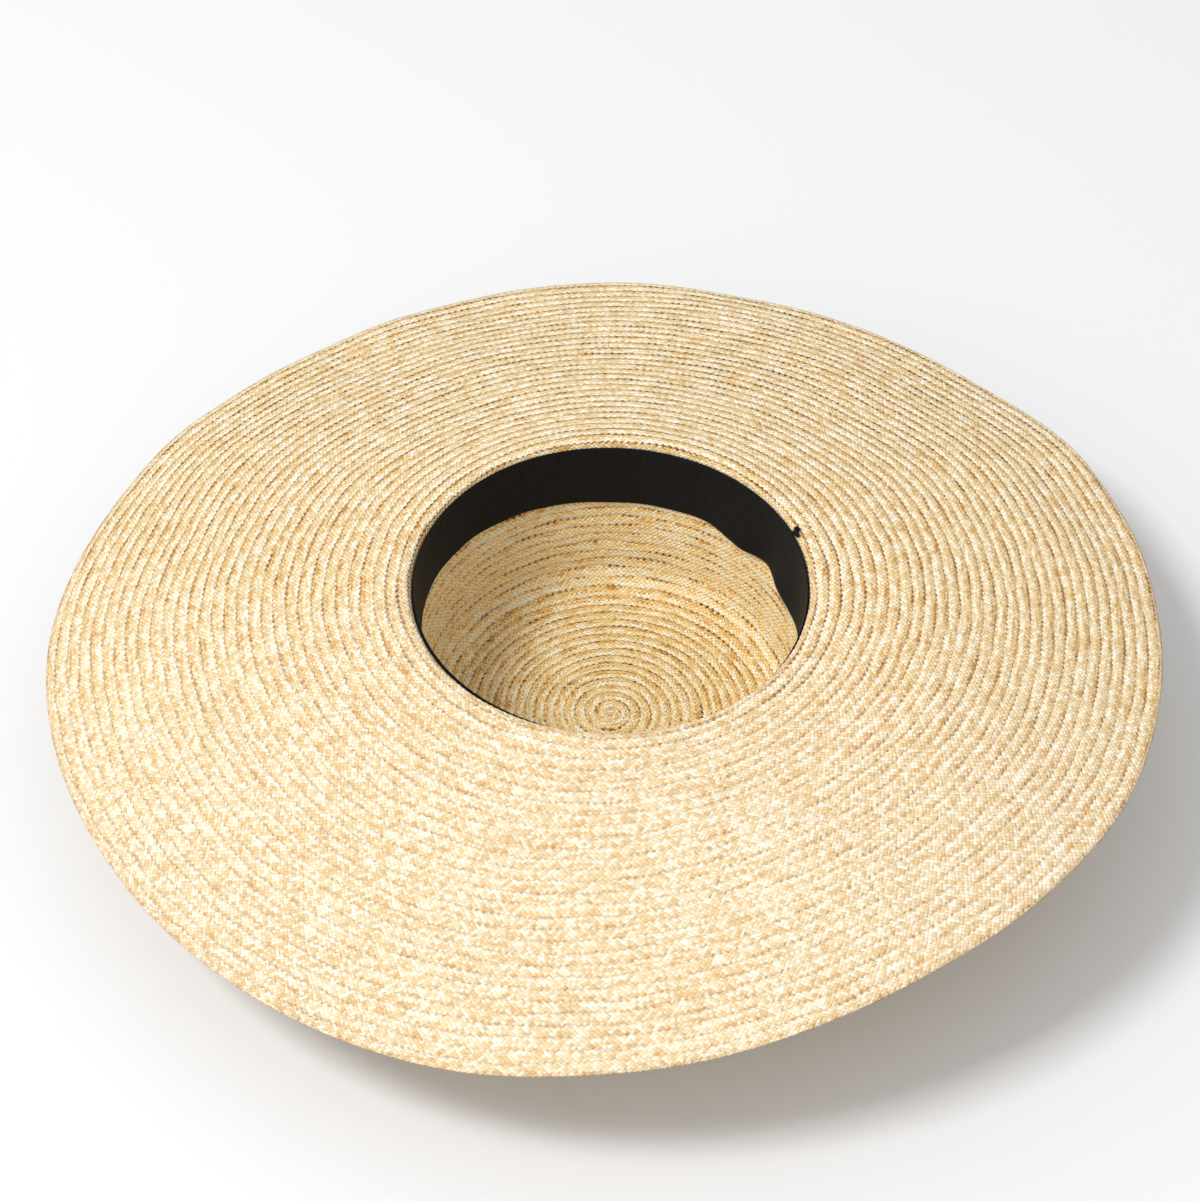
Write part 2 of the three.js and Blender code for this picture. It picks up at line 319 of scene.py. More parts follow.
def place(azimuth, walk, rise):
    """Points of the hat: the form turned round the axis, moved off its face by the
    rise, with the opening's oval as a stretch of the plan. The brim is first drawn out
    to its edge's reach."""
    drawn = np.clip((walk - COLLAR_WALK) / (HAT_WALK - COLLAR_WALK), 0, None)
    walk = walk + table_at(EDGE_REACH, "reach", azimuth) * BRIM_WIDTH * drawn
    radius, height, slope = form_at(azimuth, walk)
    radius = radius + rise * np.sin(slope)
    height = height + rise * np.cos(slope)
    angle = np.radians(azimuth)
    x = radius * np.cos(angle) * WIDTH_STRETCH
    y = radius * np.sin(angle) * LENGTH_STRETCH
    return np.stack([x, y, height], axis=-1)


def waves(position, lengths, seed):
    """A gentle unevenness between about -1 and 1: a sum of sines of the given
    wavelengths with seeded phases."""
    phases = np.random.default_rng(seed).uniform(0, 2 * math.pi, len(lengths))
    total = sum(np.sin(2 * math.pi * position / l + p) for l, p in zip(lengths, phases))
    return total / math.sqrt(len(lengths))


# Meshes


def grid_mesh(name, points, pattern, along_closed, caps=False):
    """A mesh from a grid of points, along by across, with its two pattern numbers per
    point as the UV map. Across, the grid closes on itself, and along it may. With caps,
    the first and last lines are filled."""
    along, wide = points.shape[:2]
    numbers = np.arange(along * wide).reshape(along, wide)
    rows = np.arange(along if along_closed else along - 1)
    row, column = np.meshgrid(rows, np.arange(wide), indexing="ij")
    next_row, next_column = (row + 1) % along, (column + 1) % wide
    quads = np.stack(
        [
            numbers[row, column],
            numbers[next_row, column],
            numbers[next_row, next_column],
            numbers[row, next_column],
        ],
        axis=-1,
    ).reshape(-1, 4)
    corners = points.reshape(-1, 3)
    if flat_volume(corners, quads) < 0:
        quads = quads[:, ::-1]
    loops = quads.reshape(-1)
    starts = np.arange(len(quads)) * 4
    sizes = np.full(len(quads), 4)
    if caps:
        first, last = numbers[0], numbers[-1]
        turned = quads[0, 1] != numbers[1 % along, 0]
        ends = [first[::-1], last] if turned else [first, last[::-1]]
        for line in ends:
            starts = np.append(starts, len(loops))
            sizes = np.append(sizes, len(line))
            loops = np.concatenate([loops, line])
    mesh = bpy.data.meshes.new(name)
    mesh.vertices.add(len(corners))
    mesh.vertices.foreach_set("co", corners.astype(np.float32).ravel())
    mesh.loops.add(len(loops))
    mesh.loops.foreach_set("vertex_index", loops.astype(np.int32))
    mesh.polygons.add(len(starts))
    mesh.polygons.foreach_set("loop_start", starts.astype(np.int32))
    mesh.polygons.foreach_set("loop_total", sizes.astype(np.int32))
    mesh.polygons.foreach_set("use_smooth", np.ones(len(starts), bool))
    layer = mesh.uv_layers.new(name="pattern")
    layer.data.foreach_set("uv", pattern.reshape(-1, 2)[loops].astype(np.float32).ravel())
    mesh.update(calc_edges=True)
    mesh.validate()
    piece = bpy.data.objects.new(name, mesh)
    bpy.context.scene.collection.objects.link(piece)
    return piece


def flat_volume(corners, quads):
    """Six times the volume inside the quads, which is positive if they face out."""
    a, b, c, d = (corners[quads[:, i]] for i in range(4))
    first = np.einsum("ij,ij->i", a, np.cross(b, c)).sum()
    return first + np.einsum("ij,ij->i", a, np.cross(c, d)).sum()


# The spiral of plait


def row_scale(samples):
    """Rows counted from the centre as a function of walk: the running sum of one over
    the row's width, which widens from the tip's rows to the brim's."""
    walks = np.linspace(0, HAT_WALK, samples)
    width = TIP_ROW + (BRIM_ROW - TIP_ROW) * smooth_step(walks, *ROWS_WIDEN)
    step = walks[1] - walks[0]
    counts = np.concatenate([[0], np.cumsum(step * 2 / (width[1:] + width[:-1]))])
    return walks, counts


ROW_WALKS, ROW_COUNTS = row_scale(samples=2000)
EDGE_ROWS = ROW_COUNTS[-1]
SPIRAL_TURNS = EDGE_ROWS - TAIL_WIDTH
CENTRE_TURN = 0.98


def spiral_stations(per_pitch, per_turn, samples):
    """Stations along the spiral from its tail at the brim's edge to the centre, as
    turns and as distance run. There are per_pitch of them to a pitch of the plait, and
    at least per_turn to a turn."""
    turns = np.linspace(0, SPIRAL_TURNS + CENTRE_TURN, samples)
    rows = np.clip(SPIRAL_TURNS - turns + 0.5, 0.25, None)
    walk = np.interp(rows, ROW_COUNTS, ROW_WALKS)
    radius = form_at(np.zeros_like(walk), walk)[0]
    turn_length = 2 * math.pi * radius
    step = np.minimum(PLAIT_PITCH / per_pitch, turn_length / per_turn)
    size = turns[1] - turns[0]
    counted = np.cumsum(turn_length / step * size)
    run = np.cumsum(turn_length * size)
    numbers = np.arange(0, int(counted[-1]))
    at = np.interp(numbers, counted, turns)
    return at, np.interp(at, turns, run)


STATION_TURNS, STATION_RUN = spiral_stations(per_pitch=2, per_turn=20, samples=60000)


def plait_profile():
    """The plait's section as shares of its width and of its half thickness: seven
    places on the upper side, then six back along the lower side. Its third column is
    the pattern's row count. It grows outwards on the upper side and inwards on the
    lower one, so that on both it starts at the edge that shows."""
    upper = np.array([0, 0.05, 0.2, 0.45, 0.7, 0.9, 1.0])
    lower = np.array([0.93, 0.72, 0.45, 0.2, 0.04, 0.0])
    across = np.concatenate([upper, lower])
    side = np.concatenate([np.ones(7), -np.ones(6)])
    rows = np.concatenate([upper, 1 - lower]) * (1 + ROW_OVERLAP)
    return across, side, rows


def plait_piece(name, first_turn, last_turn):
    """A stretch of the spiral ribbon of plait, closed all round. Across the ribbon its
    middle line falls from the upper to the lower level, so that each row lies over
    the edge of the next row inwards, and its thickness swells as a half sine. The
    visible edge steps in and out with the plait, wanders a little, and sinks where it
    draws back, so that it stays on the row beneath."""
    first = max(np.searchsorted(STATION_TURNS, first_turn) - 1, 0)
    last = np.searchsorted(STATION_TURNS, last_turn)
    turns, run = STATION_TURNS[first:last], STATION_RUN[first:last]
    azimuth = TAIL_AZIMUTH + 360 * turns
    across, side, pattern_rows = plait_profile()
    line = SPIRAL_TURNS - turns
    wander = WANDER * waves(run, WANDER_LENGTHS, 3)
    picot = PICOT * np.cos(2 * math.pi * run / PLAIT_PITCH)
    inner_row = np.clip(line + wander + picot, 0, EDGE_ROWS)
    outer_row = np.clip(line + 1 + ROW_OVERLAP, 0.02, EDGE_ROWS)
    width = np.maximum(outer_row - inner_row, 0.01)
    rows = inner_row[:, None] + width[:, None] * across[None, :]
    walk = np.interp(rows, ROW_COUNTS, ROW_WALKS)
    share = (rows - inner_row[:, None]) / (1 + ROW_OVERLAP)
    middle = PLAIT_UPPER + (PLAIT_LOWER - PLAIT_UPPER) * share
    swell = np.sin(math.pi * np.clip(across, 0, 1)) ** 0.85
    full = np.clip(width / 0.5, 0.15, 1)[:, None]
    half = (PLAIT_EDGE + (PLAIT_MIDDLE - PLAIT_EDGE) * swell[None, :]) / 2 * full
    uneven = UNEVEN * (waves(run, UNEVEN_LENGTHS, 11) - PRESSED)
    sink = uneven - NOSE_SINK * (wander + picot)
    rise = middle + side[None, :] * half + sink[:, None] * (1 - share) ** 2
    angle = np.broadcast_to(azimuth[:, None], walk.shape)
    rise = rise + settle(angle, walk)
    points = place(angle, walk, rise)
    along = np.broadcast_to(run[:, None] / PLAIT_PITCH, walk.shape)
    counted = np.broadcast_to(pattern_rows[None, :], walk.shape)
    pattern = np.stack([along, counted], axis=-1)
    return grid_mesh(name, points, pattern, along_closed=False, caps=True)


def settle(azimuth, walk):
    """The soft unevenness of pressed straw: long, low waves over the brim that fade
    out towards the opening, and none on the crown."""
    angle = np.radians(azimuth)
    radius = np.clip(walk - CROWN_WALK, 0, None)
    x, y = radius * np.cos(angle), radius * np.sin(angle)
    swell = SETTLE * waves(0.8 * x + 0.6 * y, (0.071, 0.043), 21)
    swell = swell + SETTLE * waves(0.5 * x - 0.9 * y, (0.083, 0.057), 22)
    return swell * smooth_step(radius, *SETTLE_REACH)


# Shader groups

CELLS_PER_PITCH = 1.4
CELLS_PER_ROW = 2.3


def socket(tree, name, kind, way, value=None):
    """A named input or output of a node group."""
    made = tree.interface.new_socket(name=name, in_out=way, socket_type=kind)
    if value is not None:
        made.default_value = value
    return made


def calc(tree, operation, first, second=None, third=None):
    """A Math node. Its inputs are numbers or other nodes' outputs."""
    node = tree.nodes.new("ShaderNodeMath")
    node.operation = operation
    for slot, value in zip(node.inputs, (first, second, third)):
        if value is None:
            continue
        if isinstance(value, (int, float)):
            slot.default_value = value
        else:
            tree.links.new(value, slot)
    return node.outputs[0]


def fade(tree, value, low, high, start=0.0, end=1.0):
    """A Map Range node with an even S between two values."""
    node = tree.nodes.new("ShaderNodeMapRange")
    node.interpolation_type = "SMOOTHSTEP"
    for slot, number in zip(("From Min", "From Max", "To Min", "To Max"), (low, high, start, end)):
        node.inputs[slot].default_value = number
    tree.links.new(value, node.inputs["Value"])
    return node.outputs["Result"]


def pair(tree, x, y, z=0.0):
    """A vector from three values."""
    node = tree.nodes.new("ShaderNodeCombineXYZ")
    for slot, value in zip(node.inputs, (x, y, z)):
        if isinstance(value, (int, float)):
            slot.default_value = value
        else:
            tree.links.new(value, slot)
    return node.outputs[0]


def mottle(tree, vector, scale, detail=2.0):
    """A Noise Texture's value."""
    node = tree.nodes.new("ShaderNodeTexNoise")
    node.inputs["Scale"].default_value = scale
    node.inputs["Detail"].default_value = detail
    tree.links.new(vector, node.inputs["Vector"])
    return node.outputs["Fac"]


def weave_group():
    """Straws that cross in a plait. The pattern's first number counts pitches along
    the row and its second counts rows across it. Two slanting counts, along plus
    across and along minus across, cut the row into diamonds. In each diamond one of
    the two straws lies on top, rounded across its own width and dipping at its ends.
    The tone is darker over each row's outer half, and the crossing shade darkens the
    low places between straws on that half: both are painted shade."""
    tree = bpy.data.node_groups.new("Plait Weave", "ShaderNodeTree")
    socket(tree, "Pattern", "NodeSocketVector", "INPUT")
    socket(tree, "Cells Per Pitch", "NodeSocketFloat", "INPUT", CELLS_PER_PITCH)
    socket(tree, "Cells Per Row", "NodeSocketFloat", "INPUT", CELLS_PER_ROW)
    socket(tree, "Straw Tone", "NodeSocketFloat", "OUTPUT")
    socket(tree, "Single Tone", "NodeSocketFloat", "OUTPUT")
    socket(tree, "Straw Height", "NodeSocketFloat", "OUTPUT")
    socket(tree, "Crossing Shade", "NodeSocketFloat", "OUTPUT")
    source = tree.nodes.new("NodeGroupInput")
    result = tree.nodes.new("NodeGroupOutput")
    parts = tree.nodes.new("ShaderNodeSeparateXYZ")
    tree.links.new(source.outputs["Pattern"], parts.inputs[0])
    along, row = parts.outputs[0], parts.outputs[1]
    across = calc(tree, "MULTIPLY", row, source.outputs["Cells Per Row"])
    drift = calc(tree, "MULTIPLY_ADD", mottle(tree, source.outputs["Pattern"], 0.7), 0.6, -0.3)
    along_bent = calc(tree, "ADD", along, drift)
    cells = calc(tree, "MULTIPLY", along_bent, source.outputs["Cells Per Pitch"])
    rising = calc(tree, "ADD", cells, across)
    falling = calc(tree, "SUBTRACT", cells, across)
    cell_one, cell_two = calc(tree, "FLOOR", rising), calc(tree, "FLOOR", falling)
    part_one, part_two = calc(tree, "FRACT", rising), calc(tree, "FRACT", falling)
    round_one = calc(tree, "SINE", calc(tree, "MULTIPLY", part_one, math.pi))
    round_two = calc(tree, "SINE", calc(tree, "MULTIPLY", part_two, math.pi))
    both = calc(tree, "ADD", cell_one, cell_two)
    over = calc(tree, "FLOORED_MODULO", both, 2.0)
    width_one = calc(tree, "POWER", round_one, 0.6)
    width_two = calc(tree, "POWER", round_two, 0.6)
    dip_one = calc(tree, "MULTIPLY_ADD", round_one, 0.5, 0.5)
    dip_two = calc(tree, "MULTIPLY_ADD", round_two, 0.5, 0.5)
    height_one = calc(tree, "MULTIPLY", width_one, dip_two)
    height_two = calc(tree, "MULTIPLY", width_two, dip_one)
    change = calc(tree, "SUBTRACT", height_two, height_one)
    height = calc(tree, "MULTIPLY_ADD", change, over, height_one)
    tree.links.new(height, result.inputs["Straw Height"])
    hashed = tree.nodes.new("ShaderNodeTexWhiteNoise")
    hashed.noise_dimensions = "2D"
    tree.links.new(pair(tree, cell_one, cell_two), hashed.inputs["Vector"])
    streaks = pair(tree, calc(tree, "MULTIPLY", along, 0.4), calc(tree, "MULTIPLY", row, 5.0))
    streak = fade(tree, mottle(tree, streaks, 1.0, 3.0), 0.3, 0.7)
    drifting = mottle(tree, source.outputs["Pattern"], 0.13, 2.0)
    tree.links.new(hashed.outputs["Value"], result.inputs["Single Tone"])
    tone = calc(tree, "MULTIPLY", hashed.outputs["Value"], 0.5)
    tone = calc(tree, "MULTIPLY_ADD", streak, 0.55, tone)
    tone = calc(tree, "MULTIPLY_ADD", drifting, 0.5, tone)
    # painted shade: the tone is darker over the row's outer half
    half_row = fade(tree, row, 0.25, 0.8, -0.04, -0.36)
    tree.links.new(calc(tree, "ADD", tone, half_row), result.inputs["Straw Tone"])
    # painted shade in the low places between crossings, on the row's outer half
    low = fade(tree, height, 0.05, 0.8, 1.0, 0.0)
    outer_half = fade(tree, row, 0.3, 0.75, 0.4, 0.85)
    depth = calc(tree, "MULTIPLY_ADD", hashed.outputs["Color"], 0.6, 0.4)
    shade = calc(tree, "MULTIPLY", calc(tree, "MULTIPLY", low, outer_half), depth)
    tree.links.new(shade, result.inputs["Crossing Shade"])
    return tree


def row_edge_group():
    """Painted shade along a row's edges. Where the next row covers this one, it is a
    thin line in the crease and dark holes between the next row's points, one for each
    pitch. The holes go on along the row's own first edge, and the second input widens
    them across the row. Down the row's middle, where the plait's straws turn under, it
    is fine dots. All come and go, and Steady keeps the line and the holes whole."""
    tree = bpy.data.node_groups.new("Row Edge", "ShaderNodeTree")
    socket(tree, "Pattern", "NodeSocketVector", "INPUT")
    socket(tree, "Back Shade", "NodeSocketFloat", "INPUT", 0.0)
    socket(tree, "Steady", "NodeSocketFloat", "INPUT", 0.0)
    socket(tree, "Holes", "NodeSocketFloat", "OUTPUT")
    socket(tree, "Line Shade", "NodeSocketFloat", "OUTPUT")
    socket(tree, "Middle Dots", "NodeSocketFloat", "OUTPUT")
    source = tree.nodes.new("NodeGroupInput")
    result = tree.nodes.new("NodeGroupOutput")
    parts = tree.nodes.new("ShaderNodeSeparateXYZ")
    tree.links.new(source.outputs["Pattern"], parts.inputs[0])
    along, row = parts.outputs[0], parts.outputs[1]
    wave = calc(tree, "COSINE", calc(tree, "MULTIPLY", along, 2 * math.pi))
    dots = calc(tree, "POWER", calc(tree, "MULTIPLY_ADD", wave, 0.5, 0.5), 3.0)
    spread = pair(tree, calc(tree, "MULTIPLY", along, 0.35), calc(tree, "MULTIPLY", row, 0.4))
    presence = fade(tree, mottle(tree, spread, 1.0, 4.0), 0.4, 0.6, 0.12, 1.0)
    presence = calc(tree, "MAXIMUM", presence, source.outputs["Steady"])
    # painted shade: the holes widen across the row as this grows, towards the back
    closed = calc(tree, "MULTIPLY_ADD", source.outputs["Back Shade"], -0.6, 1.0)
    # painted shade: dark holes between the row's points, along its first edge and under the next
    # row
    nose = fade(tree, calc(tree, "MULTIPLY", row, closed), -0.02, 0.07, 1.0, 0.0)
    from_end = calc(tree, "SUBTRACT", 1.0, row)
    gap = fade(tree, calc(tree, "MULTIPLY", from_end, closed), 0.1, 0.19, 1.0, 0.0)
    holes = calc(tree, "MULTIPLY", calc(tree, "MAXIMUM", nose, gap), dots)
    tree.links.new(calc(tree, "MULTIPLY", holes, presence), result.inputs["Holes"])
    # painted shade: a thin line in the crease where the next row covers this one
    covered = fade(tree, row, 0.84, 0.98)
    line_shade = calc(tree, "MULTIPLY", covered, calc(tree, "MULTIPLY_ADD", dots, 0.4, 0.6))
    tree.links.new(calc(tree, "MULTIPLY", line_shade, presence), result.inputs["Line Shade"])
    # painted shade: fine dark dots down the row's middle, where the straws turn under
    turned = calc(tree, "COSINE", calc(tree, "MULTIPLY", along, 2 * math.pi * CELLS_PER_PITCH))
    fine = calc(tree, "POWER", calc(tree, "MULTIPLY_ADD", turned, 0.5, 0.5), 2.0)
    aside = calc(tree, "ABSOLUTE", calc(tree, "SUBTRACT", row, 0.47))
    middle = calc(tree, "MULTIPLY", fade(tree, aside, 0.0, 0.13, 1.0, 0.0), fine)
    shift = pair(tree, calc(tree, "MULTIPLY", along, 0.21), calc(tree, "MULTIPLY", row, 0.3), 7.0)
    seen = fade(tree, mottle(tree, shift, 1.0, 3.0), 0.42, 0.62)
    tree.links.new(calc(tree, "MULTIPLY", middle, seen), result.inputs["Middle Dots"])
    return tree


WEAVE = weave_group()
ROW_EDGE = row_edge_group()


# Materials


def colour(red, green, blue):
    """A screen colour from 0 to 255 as linear light, by the usual 2.4 power rule."""
    shares = np.array([red, green, blue]) / 255
    linear = np.where(shares <= 0.04045, shares / 12.92, ((shares + 0.055) / 1.055) ** 2.4)
    return (*linear.tolist(), 1.0)


def new_material(name):
    """A material with its node tree and its Principled shader."""
    material = bpy.data.materials.new(name)
    material.use_nodes = True
    return material, material.node_tree, material.node_tree.nodes["Principled BSDF"]


def blend_colours(tree, share, first, second):
    """A Mix node between two colours, each a colour or another node's output."""
    node = tree.nodes.new("ShaderNodeMix")
    node.data_type = "RGBA"
    for slot, value in ((node.inputs[0], share), (node.inputs[6], first), (node.inputs[7], second)):
        if isinstance(value, (int, float, tuple)):
            slot.default_value = value
        else:
            tree.links.new(value, slot)
    return node.outputs[2]


def ramp(tree, value, stops):
    """A Color Ramp through (place, colour) stops."""
    node = tree.nodes.new("ShaderNodeValToRGB")
    while len(node.color_ramp.elements) < len(stops):
        node.color_ramp.elements.new(0.5)
    for element, (position, tint) in zip(node.color_ramp.elements, stops):
        element.position = position
        element.color = tint
    tree.links.new(value, node.inputs["Fac"])
    return node.outputs["Color"]


BRIM_TONES = (
    (0.0, colour(194, 134, 66)),
    (0.16, colour(213, 168, 102)),
    (0.4, colour(230, 199, 142)),
    (0.62, colour(237, 214, 168)),
    (0.8, colour(245, 231, 198)),
    (1.0, colour(254, 248, 228)),
)
# The walls' golden straw, lifted near to white: partly the straw's own colour, partly painted light
# that brightens the inside walls of the crown.
WALL_TONES_WITH_PAINTED_LIGHT = (
    (0.0, colour(220, 154, 80)),
    (0.16, colour(244, 196, 122)),
    (0.4, colour(255, 227, 165)),
    (0.65, colour(255, 239, 190)),
    (0.85, colour(255, 249, 220)),
    (1.0, colour(255, 254, 242)),
)
TIP_TONES = (
    (0.0, colour(190, 126, 54)),
    (0.16, colour(220, 168, 92)),
    (0.4, colour(241, 205, 136)),
    (0.65, colour(248, 220, 160)),
    (0.85, colour(254, 240, 200)),
    (1.0, colour(255, 252, 232)),
)
# The colour of the painted shade in the holes and dots between the straws.
HOLE_SHADE_COLOUR = colour(46, 23, 3)
# Colours of the painted shade line in the crease under each row's covered edge, deeper by the
# opening.
LINE_SHADE_COLOUR = colour(162, 98, 38)
COLLAR_LINE_SHADE_COLOUR = colour(104, 60, 22)
# The colour of the painted shade between the crossings.
CROSSING_SHADE_COLOUR = colour(176, 118, 58)
# Paler, more even tones of the painted highlight on the front of the hat.
HIGHLIGHT_TONES = (
    (0.0, colour(213, 178, 130)),
    (0.3, colour(228, 200, 156)),
    (0.5, colour(236, 214, 178)),
    (0.72, colour(242, 227, 200)),
    (1.0, colour(252, 245, 228)),
)

# The painted highlight comes in towards one side of the hat, the front, over a stretch
# counted from its axis, and fades the painted shade there. The painted shade in the
# holes along the rows' edges grows over another stretch, towards the back.

HIGHLIGHT_SIDE = (-0.16, -0.99, 0)
HIGHLIGHT_REACH = (0, 200 * MM)
BACK_SHADE_REACH = (30 * MM, 160 * MM)
STRAW_RELIEF = 0.35 * MM
RIBBON_RELIEF = 0.2 * MM
RIBBON_THREADS = 110


def front_highlight(tree):
    """How strong the painted highlight is, from 0 to 1: it grows with the reach towards
    the front of the brim, with a broad, soft unevenness."""
    place_in_hat = tree.nodes.new("ShaderNodeTexCoord").outputs["Object"]
    toward = tree.nodes.new("ShaderNodeVectorMath")
    toward.operation = "DOT_PRODUCT"
    toward.inputs[1].default_value = HIGHLIGHT_SIDE
    tree.links.new(place_in_hat, toward.inputs[0])
    uneven = mottle(tree, place_in_hat, 9.0, 2.0)
    reach = calc(tree, "MULTIPLY_ADD", uneven, 0.08, toward.outputs["Value"])
    return fade(tree, reach, *HIGHLIGHT_REACH)


def back_shade_mask(tree):
    """How strong the painted shade in the holes along the rows' edges is, from 0 to 1: it
    grows towards the back.
    """
    place_in_hat = tree.nodes.new("ShaderNodeTexCoord").outputs["Object"]
    parts = tree.nodes.new("ShaderNodeSeparateXYZ")
    tree.links.new(place_in_hat, parts.inputs[0])
    return fade(tree, parts.outputs[1], *BACK_SHADE_REACH)


def straw_material(name, tones, line_colour, line_shade, middle, steady, calm):
    """Wheat straw: each visible straw has its own tone and gloss, and the tones drift
    along the rows. Painted shade darkens the low places between crossings, a line in
    the crease and holes along the rows' edges, and dots down their middles. A painted
    highlight pales and evens out the tones towards the front and fades the painted
    shade there. The next two arguments after the line colour are the strengths of the
    painted shade line and of the painted shade dots, steady keeps the line whole, and
    calm fades the painted shade in the holes away from the back."""
    material, tree, shader = new_material(name)
    pattern = tree.nodes.new("ShaderNodeUVMap")
    pattern.uv_map = "pattern"
    weave = tree.nodes.new("ShaderNodeGroup")
    weave.node_tree = WEAVE
    tree.links.new(pattern.outputs[0], weave.inputs["Pattern"])
    edge = tree.nodes.new("ShaderNodeGroup")
    edge.node_tree = ROW_EDGE
    tree.links.new(pattern.outputs[0], edge.inputs["Pattern"])
    # painted shade: the holes grow stronger towards the back
    back_shade = back_shade_mask(tree)
    tree.links.new(back_shade, edge.inputs["Back Shade"])
    edge.inputs["Steady"].default_value = steady
    # painted highlight: paler, more even tones towards the front, where the painted shade fades
    pale = front_highlight(tree)
    kept = calc(tree, "MULTIPLY_ADD", pale, -0.75, 1.0)
    straw = ramp(tree, weave.outputs["Straw Tone"], tones)
    speckle = calc(tree, "MULTIPLY", weave.outputs["Single Tone"], 0.6)
    speckle = calc(tree, "MULTIPLY_ADD", weave.outputs["Straw Tone"], 0.4, speckle)
    faded = ramp(tree, speckle, HIGHLIGHT_TONES)
    straw = blend_colours(tree, calc(tree, "MULTIPLY", pale, 0.8), straw, faded)
    # painted shade between the crossings, fainter towards the front
    crossing = calc(tree, "MULTIPLY", weave.outputs["Crossing Shade"], kept)
    straw = blend_colours(tree, crossing, straw, CROSSING_SHADE_COLOUR)
    # painted shade: dark dots down the rows' middles
    dots = calc(tree, "MULTIPLY", edge.outputs["Middle Dots"], middle)
    straw = blend_colours(tree, calc(tree, "MULTIPLY", dots, kept), straw, HOLE_SHADE_COLOUR)
    # painted shade: the line in the crease under the next row's edge
    line = calc(tree, "MULTIPLY", edge.outputs["Line Shade"], line_shade)
    straw = blend_colours(tree, calc(tree, "MULTIPLY", line, kept), straw, line_colour)
    # painted shade: dark holes along the rows' edges, fainter towards the front and, with calm,
    # away from the back
    holes = calc(tree, "MULTIPLY", edge.outputs["Holes"], calc(tree, "MULTIPLY", kept, kept))
    holes = calc(tree, "MULTIPLY", holes, calc(tree, "MULTIPLY_ADD", back_shade, calm, 1 - calm))
    straw = blend_colours(tree, holes, straw, HOLE_SHADE_COLOUR)
    tree.links.new(straw, shader.inputs["Base Color"])
    rough = fade(tree, weave.outputs["Straw Tone"], 0.0, 1.0, 0.55, 0.3)
    rough = calc(tree, "MULTIPLY_ADD", holes, 0.4, rough)
    tree.links.new(rough, shader.inputs["Roughness"])
    shader.inputs["Specular IOR Level"].default_value = 0.15
    bump = tree.nodes.new("ShaderNodeBump")
    bump.inputs["Strength"].default_value = 1.0
    bump.inputs["Distance"].default_value = STRAW_RELIEF
    sunk = calc(tree, "MULTIPLY_ADD", edge.outputs["Holes"], -1.5, weave.outputs["Straw Height"])
    tree.links.new(sunk, bump.inputs["Height"])
    tree.links.new(bump.outputs[0], shader.inputs["Normal"])
    return material


def ribbon_material():
    """Black ribbed ribbon: ribs run down it, and threads cross them."""
    material, tree, shader = new_material("Black ribbed ribbon")
    pattern = tree.nodes.new("ShaderNodeUVMap")
    pattern.uv_map = "pattern"
    parts = tree.nodes.new("ShaderNodeSeparateXYZ")
    tree.links.new(pattern.outputs[0], parts.inputs[0])
    turn = calc(tree, "MULTIPLY", parts.outputs[0], 2 * math.pi)
    rib = calc(tree, "MULTIPLY_ADD", calc(tree, "COSINE", turn), 0.5, 0.5)
    thread = calc(tree, "MULTIPLY", parts.outputs[1], 2 * math.pi * RIBBON_THREADS)
    thread = calc(tree, "MULTIPLY_ADD", calc(tree, "COSINE", thread), 0.12, 0.12)
    fuzz = mottle(tree, pattern.outputs[0], 3.0, 4.0)
    height = calc(tree, "ADD", rib, thread)
    # painted shade: the ribs' crests are lighter and the hollows between them darker; the mottle is
    # the ribbon's own unevenness
    shade = calc(tree, "MULTIPLY_ADD", rib, 0.35, calc(tree, "MULTIPLY", fuzz, 0.4))
    black = ramp(tree, shade, ((0.0, colour(3, 3, 4)), (1.0, colour(30, 30, 33))))
    tree.links.new(black, shader.inputs["Base Color"])
    shader.inputs["Roughness"].default_value = 0.72
    shader.inputs["Specular IOR Level"].default_value = 0.15
    shader.inputs["Sheen Weight"].default_value = 0.02
    bump = tree.nodes.new("ShaderNodeBump")
    bump.inputs["Strength"].default_value = 0.5
    bump.inputs["Distance"].default_value = RIBBON_RELIEF
    tree.links.new(height, bump.inputs["Height"])
    tree.links.new(bump.outputs[0], shader.inputs["Normal"])
    return material


BRIM_STRAW = straw_material(
    "Bleached wheat straw plait",
    BRIM_TONES,
    LINE_SHADE_COLOUR,
    line_shade=1.0,
    middle=0.25,
    steady=0,
    calm=0.5,
)
COLLAR_STRAW = straw_material(
    "Bleached wheat straw plait by the opening",
    BRIM_TONES,
    COLLAR_LINE_SHADE_COLOUR,
    line_shade=1.0,
    middle=0.2,
    steady=0.75,
    calm=0.3,
)
# painted light: the inside walls' straw is lifted towards white
WALL_STRAW = straw_material(
    "Pale golden wheat straw plait",
    WALL_TONES_WITH_PAINTED_LIGHT,
    LINE_SHADE_COLOUR,
    line_shade=0.9,
    middle=0.3,
    steady=0,
    calm=0.3,
)
TIP_STRAW = straw_material(
    "Golden straw plait of the tip, with painted shade",
    TIP_TONES,
    LINE_SHADE_COLOUR,
    line_shade=0.9,
    middle=0.8,
    steady=0,
    calm=0,
)
RIBBON = ribbon_material()


def finish(piece, material, node):
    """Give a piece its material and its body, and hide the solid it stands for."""
    piece.data.materials.append(material)
    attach(piece, "root")
    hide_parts(node)
    return piece


# The straw pieces

# The spiral's turns, counted from the brim's edge, at which one piece ends and the
# next begins. The seam is where the brim's solid meets the crown's.

BRIM_SPLITS = (0.0, 7.5, 16.5)
SEAM_TURN = 27.97
COLLAR_TURN = SEAM_TURN + 4
TIP_TURN = SPIRAL_TURNS - 16.5

